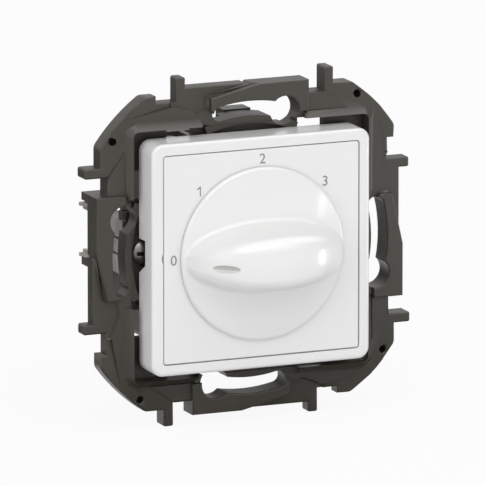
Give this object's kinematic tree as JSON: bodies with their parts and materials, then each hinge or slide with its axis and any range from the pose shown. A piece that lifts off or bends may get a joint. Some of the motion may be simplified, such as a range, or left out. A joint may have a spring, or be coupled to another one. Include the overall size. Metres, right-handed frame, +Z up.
{
  "type": "fan speed control switch",
  "caption": "Square rotary fan speed switch for a wall box: white cover with a lens-shaped knob, dark support frame with keyhole slots, spreading claws and a switch housing behind.",
  "frame": {"origin": "middle of the device on the wall plane, the back of the support frame", "axes": "+X right, +Z up, +Y into the wall, so the knob faces -Y"},
  "size_m": [0.075, 0.052, 0.075],
  "materials": {
    "dark_plastic": "fine matt moulding",
    "white_plastic": "semi-gloss moulding",
    "steel": "zinc plated",
    "brass": "plain",
    "grey_plastic": "plain moulding",
    "spring_steel": "plain"
  },
  "bodies": {
    "base": {"support_frame": "dark_plastic", "bezel": "white_plastic", "face_plate": "white_plastic", "housing_front": "dark_plastic", "housing_rear": "dark_plastic", "index_spring": "spring_steel", "contact_common": "brass", "contact_speed_1": "brass", "contact_speed_2": "brass", "contact_speed_3": "brass", "clamp_common": "steel", "clamp_speed_1": "steel", "clamp_speed_2": "steel", "clamp_speed_3": "steel", "terminal_screws": "steel", "housing_screws": "steel"},
    "dial": {"knob": "white_plastic", "spindle": "steel", "spindle_clip": "spring_steel", "rotor": "grey_plastic", "wiper": "brass", "wiper_spring": "spring_steel"},
    "left_claw": {"claw_left": "steel"},
    "right_claw": {"claw_right": "steel"},
    "left_screw": {"claw_screw_left": "steel"},
    "right_screw": {"claw_screw_right": "steel"}
  },
  "joints": [
    {"name": "knob_turn", "type": "hinge", "parent": "base", "child": "dial", "pos_m": [0, 0, 0], "axis": [0, 1, 0], "range_deg": [0, 135], "deforming": ["index_spring"]},
    {"name": "left_screw_turn", "type": "hinge", "parent": "base", "child": "left_screw", "pos_m": [-0.0235, 0, 0.0004], "axis": [0, 1, 0], "range_deg": [0, 2160]},
    {"name": "right_screw_turn", "type": "hinge", "parent": "base", "child": "right_screw", "pos_m": [0.0235, 0, -0.0004], "axis": [0, 1, 0], "range_deg": [0, 2160]},
    {"name": "left_claw_swing", "type": "hinge", "parent": "base", "child": "left_claw", "pos_m": [-0.025, 0.0039, 0.0004], "axis": [0, 0, 1], "range_deg": [0, 20]},
    {"name": "right_claw_swing", "type": "hinge", "parent": "base", "child": "right_claw", "pos_m": [0.025, 0.0039, -0.0004], "axis": [0, 0, -1], "range_deg": [0, 20]}
  ],
  "couplings": [
    {"joint": "left_claw_swing", "follows": "left_screw_turn", "ratio": 0.0074074},
    {"joint": "right_claw_swing", "follows": "right_screw_turn", "ratio": 0.0074074}
  ]
}
